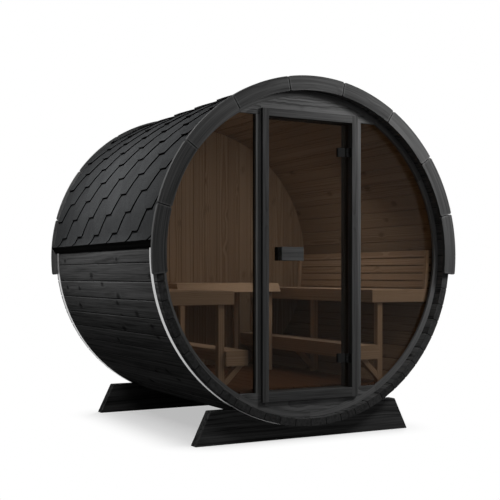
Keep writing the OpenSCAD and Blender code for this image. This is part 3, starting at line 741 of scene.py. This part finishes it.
# %% Stiles, head and sill
FRAME_EASE = 0.001
stile = boards(span("door_stile_right"), "z", ease=FRAME_EASE)
piece("stile_right", [stile], frame_wood, "door_stile_right")
piece("stile_left", [mirrored(stile)], frame_wood, "door_stile_left")
for name in ("head", "sill"):
    rail = boards(span(f"door_{name}"), "x", ease=FRAME_EASE)
    piece(f"frame_{name}", [rail], frame_wood, f"door_{name}")

# %% [markdown]
# ## Rear wall and floor
# Upright tongue-and-groove boards close the rear, and boards along the room make its floor, cut to the
# round at both sides. A round wall of boards is simply a set of bars whose two ends lie on the circle.

# %% Boards of the rear wall
WALL_BOARDS, WALL_ROWS, WALL_MARGIN = 20, 7, 0.002


def reach(z):
    """Half the width of the round room at a height."""
    return np.sqrt(RING_OUT**2 - z**2)


edge_x = np.linspace(WALL_MARGIN - RING_OUT, RING_OUT - WALL_MARGIN, WALL_BOARDS + 1)
wall_x = edge_x[:-1, None] + np.linspace(FIT, np.diff(edge_x)[0] - FIT, WALL_ROWS)
wall_edges = (np.stack([wall_x, sign * reach(wall_x)], axis=-1) for sign in (-1, 1))
upright = bars(*wall_edges, *span("rear_wall")[2:4], "y", grain="span", seam=1.0)
piece("rear_boards", [upright], wall_wood, "rear_wall")

# %% Floor boards and bearers
FLOOR_BOARDS, FLOOR_GAP, NOTCH_HALF = 11, 0.004, 0.33
BEARER_COUNT, BEARER = 3, 0.045
_, _, *ROOM_Y, FLOOR_LOW, FLOOR_TOP = span("floor_boards")
_, _, threshold_y, _, bearer_low, _ = span("floor_bearers")


def slats(low, high, count, gap):
    """Starts and ends of equal slats that fill the way from low to high, with equal gaps between them."""
    width = (high - low - (count - 1) * gap) / count
    start = low + (width + gap) * np.arange(count)
    return np.stack([start, start + width], axis=-1)


half_top, half_low = reach(FLOOR_TOP) - FIT, reach(FLOOR_LOW) - FIT
board_x = slats(-half_top, half_top, FLOOR_BOARDS, FLOOR_GAP)
start_y = np.where(np.abs(board_x).min(axis=1) < NOTCH_HALF, threshold_y, ROOM_Y[0])
floor_edges = (
    np.stack([x, np.full(x.shape, z)], axis=-1)
    for x, z in ((np.clip(board_x, -half_low, half_low), FLOOR_LOW), (board_x, FLOOR_TOP))
)
floor_bars = bars(*floor_edges, start_y, ROOM_Y[1], "y", grain="across", seam=1.0)
piece("floor_planks", [floor_bars], floor_wood, "floor_boards")

bearer_y = np.linspace(threshold_y, ROOM_Y[1] - BEARER, BEARER_COUNT)
bearer_edges = (
    np.array([[(-reach(z), z), (reach(z), z)]] * BEARER_COUNT) for z in (bearer_low, FLOOR_LOW)
)
bearers = bars(*bearer_edges, bearer_y, bearer_y + BEARER, "y")
piece("floor_joists", [bearers], floor_wood, "floor_bearers")

# %% [markdown]
# ## Benches
# Two tiers of benches stand along each side and a third bench crosses the rear. Their slats, fascias, legs
# and braces are straight bars; only the boards that end on the round follow it. The left side is the right
# one mirrored.

# %% Seats of the side benches
SLAT_COUNT, SLAT, SLAT_GAP = 4, 0.025, 0.008
LEG_COUNT, LEG, END_ROWS = 3, 0.039, 6
seat_in, seat_out, *BENCH_Y, seat_low, SEAT_TOP = span("bench_right_seat")
fascia_in, _, fascia_y, _, FASCIA_LOW, _ = span("bench_right_boards")
_, leg_out, leg_first, leg_last, _, _ = span("bench_right_legs")
END_Y = (fascia_y, BENCH_Y[0])
LEG_Y = np.linspace(leg_first, leg_last - LEG, LEG_COUNT)

slat_x = slats(seat_in, seat_out, SLAT_COUNT, SLAT_GAP)
seat_slats = boards([(*x, *BENCH_Y, seat_low, SEAT_TOP) for x in slat_x], "y")
end_z = np.linspace(FASCIA_LOW, SEAT_TOP, END_ROWS)
end_edges = [np.stack([x, end_z], axis=-1)[None] for x in (np.full(END_ROWS, fascia_in), reach(end_z))]
bearer_x = (seat_in, reach(FASCIA_LOW))
bench_parts = [
    boards((fascia_in, seat_in, *BENCH_Y, FASCIA_LOW, SEAT_TOP), "y"),
    bars(*end_edges, *END_Y, "y", grain="span"),
    boards([(*bearer_x, y, y + LEG, FASCIA_LOW, seat_low) for y in LEG_Y], "x"),
]
print("side bench slats:", len(slat_x))

# %% Legs, braces and steps
BRACE, BRACE_FOOT = 0.045, 0.02
step_in, step_out, _, _, STEP_LOW, STEP_TOP = span("step_right")
leg_x = np.array([leg_out - LEG, leg_out])
leg_low = np.maximum(FLOOR_TOP, -reach(leg_x))
leg_edges = (
    np.array([np.stack([leg_x, z], axis=-1)] * LEG_COUNT) for z in (leg_low, np.full(2, FASCIA_LOW))
)
brace_z = FLOOR_TOP + BRACE_FOOT
brace_x = leg_x[0] - (STEP_LOW - brace_z)  # the brace rises at 45 degrees
brace_edges = (
    np.array([[(leg_x[0], brace_z + thick), (brace_x + thick, STEP_LOW)]] * LEG_COUNT)
    for thick in (0.0, BRACE)
)
leg_parts = [
    bars(*leg_edges, LEG_Y, LEG_Y + LEG, "y", grain="span"),
    bars(*brace_edges, LEG_Y, LEG_Y + LEG, "y"),
]
tread_in, tread_low = step_in + seat_in - fascia_in, STEP_TOP - SLAT
step_parts = [
    boards((step_in, tread_in, *BENCH_Y, STEP_LOW, STEP_TOP), "y"),
    boards((step_in, step_out, *END_Y, STEP_LOW, STEP_TOP), "x"),
    boards((tread_in, step_out, *BENCH_Y, tread_low, STEP_TOP), "y"),
    boards([(tread_in, step_out, y, y + LEG, STEP_LOW, tread_low) for y in LEG_Y], "x"),
]
print("legs on each side:", LEG_COUNT)

# %% Backrests, and both sides
REST_SLATS, REST_SLAT, REST_GAP = 5, 0.018, 0.007
REST_POSTS, REST_POST, REST_LEAN = 3, 0.025, 0.018
REST_IN, REST_BACK = 0.8803, 0.9052
_, _, *REST_Y, rest_low, rest_high = span("backrest_right")
rest_h = rest_high - rest_low


def leaning(x0, x1, heights, y0, y1, grain):
    """Leaning bars from x0 to x1 at the bench, each between two heights over it; X grows with height."""
    edges = (np.stack([x + REST_LEAN * heights / rest_h, rest_low + heights], axis=-1) for x in (x0, x1))
    return bars(*edges, y0, y1, "y", grain=grain)


rest_y = np.linspace(REST_Y[0], REST_Y[1] - REST_POST, REST_POSTS)
post_heights = np.array([[0.0, rest_h]] * REST_POSTS)
slat_heights = slats(REST_GAP, rest_h, REST_SLATS, REST_GAP)
rest_parts = [
    leaning(REST_IN, REST_BACK, post_heights, rest_y, rest_y + REST_POST, "path"),
    leaning(REST_BACK, REST_BACK + REST_SLAT, slat_heights, *REST_Y, "across"),
]
for name, parts, node in (
    ("bench_slats", [seat_slats], "bench_{}_seat"),
    ("bench_fascia", bench_parts, "bench_{}_boards"),
    ("bench_stand", leg_parts, "bench_{}_legs"),
    ("bench_step", step_parts, "step_{}"),
    ("bench_rest", rest_parts, "backrest_{}"),
):
    piece(f"{name}_right", parts, bench_wood, node.format("right"))
    piece(f"{name}_left", [mirrored(part) for part in parts], bench_wood, node.format("left"))

# %% Bench across the rear
REAR_SLAT, NOSE, RAIL, RAIL_HEIGHT = 0.022, 0.02, 0.033, 0.045
_, rear_half, nose_y, _, nose_z, REAR_TOP = span("back_bench_seat")
_, rail_out, *REAR_Y, _, rail_top = span("back_bench_frame")
nose_low = [[(nose_y, nose_z), (nose_y + NOSE, nose_z)]]
nose_top = [[(REAR_Y[0] - NOSE, REAR_TOP - FIT), (REAR_Y[0], REAR_TOP - FIT)]]
rear_y = slats(*REAR_Y, SLAT_COUNT, SLAT_GAP)
rear_seat = [
    boards([(-rear_half, rear_half, *y, REAR_TOP - REAR_SLAT, REAR_TOP) for y in rear_y], "x"),
    bars(nose_low, nose_top, -rear_half, rear_half, "x", grain="across"),
]
rail_x, rail_low = ((-rail_out, RAIL - rail_out), (rail_out - RAIL, rail_out)), rail_top - RAIL_HEIGHT
rails = [(*x, *REAR_Y, rail_low, rail_top) for x in rail_x]
posts = [(*x, y, y + RAIL, FLOOR_TOP, rail_low) for x in rail_x for y in (REAR_Y[0], REAR_Y[1] - RAIL)]
piece("rear_bench_slats", rear_seat, bench_wood, "back_bench_seat")
piece("rear_bench_stand", [boards(rails, "y"), boards(posts, "z")], bench_wood, "back_bench_frame")

# %% [markdown]
# ## Shingles
# Bitumen shingles lie in courses up each side, with slanted tabs: every course shows one row of
# flat-bottomed tabs, and the next row down peeps through between them. Each course here is a closed strip
# of felt over the barrel. Its lower edge follows the tabs, its upper end goes under the next courses, and
# it lies a little steeper than the round, as real courses do.

# %% Felt over the barrel
FLARE, FLARE_H, ROLL_R, CREST_GAP = 0.0167, 0.056, 1.0185, 0.004
FELT, LIFT, TAPER, BED = 0.0058, 0.0152, 0.0063, 0.0004  # thickness, rise, fall in a course, least rise
ROOF_IN = span("eave_strip_right")[0]
_, _, roof_first, roof_last, EAVE_Z, _ = span("roof_right")
ROOF_Y = np.round([roof_first + FIT, roof_last - FIT], 5)
EAVE_S, CREST_S = ROLL_R * math.asin(EAVE_Z / ROLL_R), ROLL_R * math.pi / 2 - CREST_GAP


def over_roof(s, height):
    """A point of the right roof half at an arc length above the axis level and a height over the underlay.

    Near the eave the roof kicks outward by a parabola.
    """
    radius = ROOF_IN + height
    angle = s / ROLL_R
    x, z = radius * np.cos(angle), radius * np.sin(angle)
    t = np.clip((z - EAVE_Z) / FLARE_H, 0.0, 1.0)
    return x + FLARE * (1 - t) ** 2, z


def felt(upper, lower, tone):
    """A closed piece of felt from two grids of points, one above the other, with one tone for each row."""
    loop = np.concatenate([upper, lower[:, ::-1]], axis=1)
    count, around = loop.shape[:2]
    points = loop.reshape(-1, 3)
    cut_and_shade = np.zeros((count, around))
    # black at the lower edge: bare bitumen on the edge, and painted shade just onto the tab's face
    cut_and_shade[:, [0, -1]] = 1.0
    return {
        "points": points + AXIS_FRONT,
        "quads": outward(points, sleeves(np.arange(count * around).reshape(1, count, around))),
        "tone": np.repeat(tone, around),
        "arris": cut_and_shade.reshape(-1),
    }


print("felt thickness:", FELT)

# %% Courses of tabs
COURSE, FIRST, HIDDEN = 0.1188, 0.1235, 0.03
PERIOD, ODD_TAB, EVEN_TAB = 0.3175, 0.306, 0.150
SLANT = np.array([0.045, 0.0675, 0.09, 0.11375])  # columns from a tab's corner to its root
TAB_HALF, ROOT_HALF = SLANT[[0, -1]]
TAB_NUMBERS, TAB_DRAWS, TAB_BASE = np.arange(-2, 7), 12, 3
LIFT_PLAY, LIFT_MOST = 0.0008, 0.0012
COURSE_NUMBERS = range(-1, 13)
# the thin second row is where the painted shade along a tab's edge fades out
COURSE_ROWS = np.concatenate([[0.0, 0.012], np.linspace(0.1, 1.0, 8)])


def course(number):
    """One course: a strip whose lower edge is a row of tabs, closed by an underside and by its edges.

    Along Y the columns stop at every corner of the tabs, so the slants stay straight.
    """
    flat = FIRST + COURSE * (number - 1)
    middle = ODD_TAB if number % 2 else EVEN_TAB
    offsets = np.concatenate([[-PERIOD / 2], -SLANT, [0.0], SLANT])
    columns = (middle + PERIOD * TAB_NUMBERS[:, None] + offsets).ravel()
    y = np.unique(np.round(np.concatenate([columns, ROOF_Y]), 5))
    y = y[(y >= ROOF_Y[0]) & (y <= ROOF_Y[1])]
    away = np.abs((y - middle + PERIOD / 2) % PERIOD - PERIOD / 2)
    low = flat + COURSE * np.clip((away - TAB_HALF) / (ROOT_HALF - TAB_HALF), 0.0, 1.0)
    low = np.maximum(low, EAVE_S)[:, None]
    s = low + COURSE_ROWS * (min(flat + 2 * COURSE + HIDDEN, CREST_S) - low)
    tab = np.floor((y - middle) / PERIOD + 0.5).astype(int) + TAB_BASE
    lift = random.uniform(0.0, LIFT_PLAY, TAB_DRAWS)[tab][:, None]
    height = np.minimum(LIFT + lift - TAPER * (s - flat) / COURSE, LIFT + LIFT_MOST)
    skins = [over_roof(s, height), over_roof(s, np.maximum(height - FELT, BED))]
    grids = [np.stack([x, np.broadcast_to(y[:, None], x.shape), z], axis=-1) for x, z in skins]
    return felt(*grids, random.uniform(0, 1, TAB_DRAWS)[tab])


right_courses = [course(number) for number in COURSE_NUMBERS]
print("courses:", len(right_courses))

# %% Ridge caps
CAP_COUNT, CAP_ROWS, CAP_COLUMNS = 11, 5, 13
CAP_STEP, CAP_LENGTH, CAP_ANGLE = 0.16, 0.2, 0.118
CAP_RISE, CAP_FALL = 0.0072, 0.0045


def ridge_cap(number):
    """A cap bent over the ridge; its front end lies on the cap before it, so its height falls along Y."""
    along = np.linspace(0.0, 1.0, CAP_ROWS)[:, None]
    y = np.minimum(ROOF_Y[0] + CAP_STEP * number + CAP_LENGTH * along, ROOF_Y[1])
    angle = np.linspace(-CAP_ANGLE, CAP_ANGLE, CAP_COLUMNS)
    height = LIFT + CAP_RISE - CAP_FALL * along
    grids = []
    for radius in (ROOF_IN + height, ROOF_IN + height - FELT):
        bent = np.broadcast_arrays(radius * np.sin(angle), y, radius * np.cos(angle))
        grids.append(np.stack(bent, axis=-1))
    return felt(*grids, np.full(CAP_ROWS, random.uniform()))


ridge_caps = [ridge_cap(number) for number in range(CAP_COUNT)]
print("ridge caps:", len(ridge_caps))

# %% [markdown]
# ## Granules on bitumen
# The felt is covered with crushed slate. Up close it is a mosaic of grains, from afar a soft charcoal with
# cloudy patches, and each tab comes from another place of the roll. Its cut edges show bare black bitumen,
# and the black runs a few millimetres onto each tab's face as painted shade along its edge.

# %% Shingle finish
GRAINS, CLOUDS, SLATE_WARMTH, GRANULE_BUMP = 520.0, 9.0, -0.03, 0.0012
SLATE_DARK, SLATE_PALE, BITUMEN_AND_SHADE = grey(0.022, SLATE_WARMTH), grey(0.08, SLATE_WARMTH), grey(0.004)

shingle, flow = new_finish("slate_granules")
place = flow.make("TexCoord", out="Object")
speck = flow.make("TexVoronoi", {"feature": "F1"}, out="Color", Vector=place, Scale=GRAINS).parts()[0]
shade = 0.6 * speck + 0.5 * place.noise(CLOUDS, 4.0) + 0.15 * note(flow, "tone") - 0.1
colour = note(flow, "arris").step(0.0, 0.8).mix(shade.mix(SLATE_DARK, SLATE_PALE), BITUMEN_AND_SHADE)
relief = flow.make("Bump", Height=speck, Strength=0.6, Distance=GRANULE_BUMP)
felt_skin = flow.make(
    "BsdfPrincipled", Base_Color=colour, Roughness=0.75 + 0.2 * speck, Normal=relief, Specular_IOR_Level=0.0
)
flow.make("OutputMaterial", Surface=felt_skin)
piece("shingles_right", right_courses, shingle, "roof_right")
piece("shingles_left", [mirrored(strip) for strip in right_courses] + ridge_caps, shingle, "roof_left")

# %% [markdown]
# ## Eave strips
# A cant strip under each eave carries the lowest shingles out from the barrel. It is a long bar with a
# sloping face.

# %% Strips under the eaves
STRIP_FOOT, STRIP_EASE = 0.003, 0.0012
_, strip_out, _, _, *strip_z = span("eave_strip_right")
strip_edges = (
    np.stack([x, strip_z], axis=-1)[None] for x in ((ROOF_IN, ROOF_IN), (ROOF_IN + STRIP_FOOT, strip_out))
)
strip = bars(*strip_edges, *ROOF_Y, "y", ease=STRIP_EASE, grain="across")
piece("eave_cant_right", [strip], strip_wood, "eave_strip_right")
piece("eave_cant_left", [mirrored(strip)], strip_wood, "eave_strip_left")

# %% [markdown]
# ## Steel bands
# Two flat bands of stainless steel pull the staves together. Rolling leaves fine lines round the band, so
# the noise is stretched along it and dense across it.

# %% Brushed steel
ROLLED, STEEL_DARK, STEEL_PALE, STEEL_BUMP = (3.0, 900.0, 3.0), grey(0.42), grey(0.6), 0.0004

steel, flow = new_finish("rolled_steel")
lines = flow.make("TexCoord", out="Object").scaled(*ROLLED).noise(1.0, 2.0)
colour = lines.mix(STEEL_DARK, STEEL_PALE)
relief = flow.make("Bump", Height=lines, Strength=0.12, Distance=STEEL_BUMP)
band_skin = flow.make(
    "BsdfPrincipled", Base_Color=colour, Roughness=0.26 + 0.2 * lines, Metallic=1.0, Normal=relief
)
flow.make("OutputMaterial", Surface=band_skin)
dress(steel, "band_front", "band_rear")

# %% [markdown]
# ## Bronze glass
# The panes and the door are bronze-tinted glass. For thin panes a see-through tint mixed with a mirror by
# Fresnel is enough: it doesn't bend the view, and it exports as a plain see-through material.

# %% Tinted panes
BRONZE, GLASS_IOR, MIRROR_SHARE, POLISH = (0.72, 0.685, 0.65, 1.0), 1.5, 0.08, 0.01

glass, flow = new_finish("bronze_pane")
bend = flow.make("Fresnel", IOR=GLASS_IOR)
tint = flow.make("BsdfTransparent", Color=BRONZE)
mirror = flow.make("BsdfGlossy", Color=grey(WHITE), Roughness=POLISH)
flow.make("OutputMaterial", Surface=flow.make("MixShader", s0=MIRROR_SHARE * bend, s1=tint, s2=mirror))
dress(glass, "window_left", "window_right", "door_glass")

# %% [markdown]
# ## Fittings
# The clamp hinges and their brackets are powder-coated black: a satin skin with a very fine orange peel.
# Noise on the object's own coordinates gives both its speckle and its relief.

# %% Powder coat
COAT_DARK, COAT_PALE = grey(0.006), grey(0.014)
PEEL, COAT_SHINE, COAT_BUMP = 900.0, 0.1, 0.0003

coat, flow = new_finish("black_powder_coat")
peel = flow.make("TexCoord", out="Object").noise(PEEL, 2.0)
colour = peel.mix(COAT_DARK, COAT_PALE)
relief = flow.make("Bump", Height=peel, Strength=0.15, Distance=COAT_BUMP)
coat_skin = flow.make(
    "BsdfPrincipled", Base_Color=colour, Roughness=0.45 + 0.15 * peel, Normal=relief,
    Specular_IOR_Level=COAT_SHINE,
)
flow.make("OutputMaterial", Surface=coat_skin)
dress(coat, "door_hinges", "hinge_brackets")

# %% [markdown]
# ## Handle and pull
# A block of stained wood with a finger groove behind its free end is the outer handle, and a plain block
# the inner pull. The groove is a step in the inner edge of the bar.

# %% Door handle and inner pull
GROOVE_X, GROOVE_Y, GROOVE_SLANT = -0.1055, 0.0696, 0.0002
HANDLE_EASE, PULL_EASE = 0.003, 0.004
handle_x0, handle_x1, handle_y0, handle_y1, *handle_z = span("door_handle")
handle_x = (handle_x0, GROOVE_X, GROOVE_X + GROOVE_SLANT, handle_x1)
groove_y = (handle_y1, handle_y1, GROOVE_Y, GROOVE_Y)
handle_edges = (np.stack([handle_x, y], axis=-1)[None] for y in (np.full(4, handle_y0), groove_y))
handle = bars(*handle_edges, *handle_z, "z", ease=HANDLE_EASE)
pull = boards(span("door_pull"), "x", ease=PULL_EASE)
piece("handle_block", [handle], frame_wood, "door_handle", body="door")
piece("pull_block", [pull], frame_wood, "door_pull", body="door")
